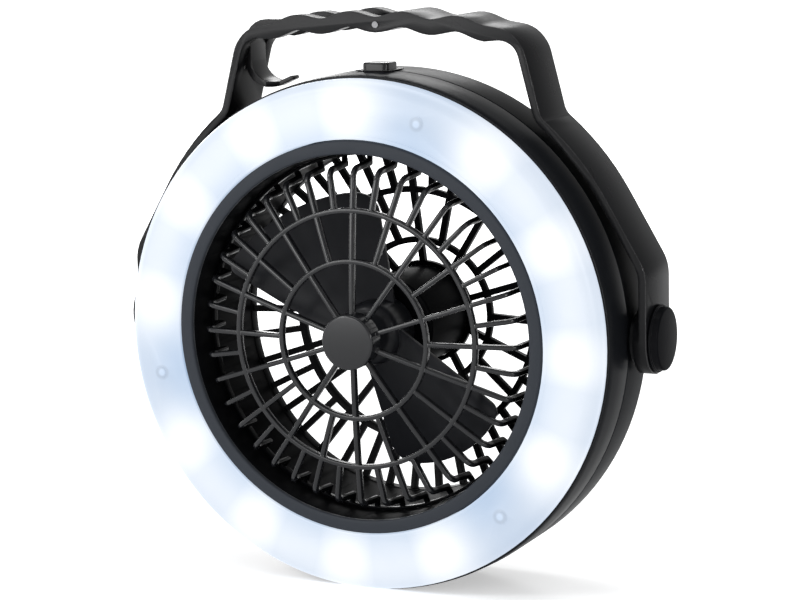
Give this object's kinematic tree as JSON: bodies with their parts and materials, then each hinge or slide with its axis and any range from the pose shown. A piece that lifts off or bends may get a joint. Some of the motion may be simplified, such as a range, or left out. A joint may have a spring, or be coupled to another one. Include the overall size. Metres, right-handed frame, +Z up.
{
  "type": "portable camping fan",
  "caption": "Portable drum-shaped camping fan with a ring light round a caged fan, a tilting strap handle with finger waves and a fold-out hanging hook.",
  "frame": {"origin": "bottom centre of the bounding box: the middle of the ground under the drum's standing flat, halfway between the grille's hub and the motor cup", "axes": "+X to the right seen from the front, along the handle's pivots; -Y the way the air and the light leave; +Z up, through the handle's grip"},
  "size_m": [0.2146, 0.0716, 0.2127],
  "materials": {
    "shell": "satin near-black moulded plastic",
    "lens": "frosted white translucent plastic, lit from behind",
    "trim": "smooth charcoal plastic ring",
    "grille": "smooth near-black plastic with bright highlights",
    "duct": "dull near-black moulded plastic",
    "reflector": "white moulded reflector tray",
    "board": "white lacquered circuit board",
    "led": "lit white diode packages",
    "fan": "smooth dark grey plastic blades",
    "motor": "plated steel motor can",
    "bush": "plain bronze bush",
    "steel": "bright ground steel",
    "button": "soft dark rubber",
    "bezel": "smooth black plastic frame",
    "switch": "dark switch housing",
    "tray": "dark moulded battery tray",
    "cell": "plain printed steel can of a battery cell",
    "handle": "satin near-black plastic strap",
    "hook": "satin near-black plastic",
    "cap": "smooth black plastic caps",
    "washer": "dark fibre friction washer"
  },
  "bodies": {
    "drum": {"front_housing": "shell", "rear_housing": "shell", "lens": "lens", "trim_ring": "trim", "front_grille": "grille", "duct": "duct", "rear_grille": "grille", "reflector": "reflector", "led_board": "board", "leds": "led", "motor_cup": "duct", "motor_lid": "duct", "motor_can": "motor", "motor_bush": "bush", "button_bezel": "bezel", "switch_body": "switch", "battery_tray": "tray", "cell_1": "cell", "cell_2": "cell", "cell_3": "cell", "cell_4": "cell", "battery_springs": "steel", "housing_screws": "steel", "pivot_bolt_left": "steel", "pivot_bolt_right": "steel", "pivot_cap_left": "cap", "pivot_cap_right": "cap", "pivot_washer_left": "washer", "pivot_washer_right": "washer"},
    "rotor": {"rotor": "fan", "motor_shaft": "steel"},
    "button": {"switch_button": "button"},
    "cover": {"battery_cover": "shell"},
    "handle": {"handle": "handle", "hook_pin": "steel"},
    "hook": {"hook": "hook"}
  },
  "joints": [
    {"name": "handle_tilt", "type": "hinge", "parent": "drum", "child": "handle", "pos_m": [0, 0.0077, 0.095], "axis": [1, 0, 0], "range_deg": [-120, 120]},
    {"name": "hook_fold", "type": "hinge", "parent": "handle", "child": "hook", "pos_m": [0, 0.0077, 0.2078], "axis": [0, 1, 0], "range_deg": [0, 90]},
    {"name": "fan_spin", "type": "hinge", "parent": "drum", "child": "rotor", "pos_m": [0, 0.0077, 0.095], "axis": [0, 1, 0], "continuous": true},
    {"name": "button_press", "type": "slide", "parent": "drum", "child": "button", "axis": [0, 0, -1], "range_m": [0, 0.0013], "stiffness_N_per_m": 800},
    {"name": "cover_pull", "type": "slide", "parent": "drum", "child": "cover", "axis": [0, 1, 0], "range_m": [0, 0.016]}
  ]
}
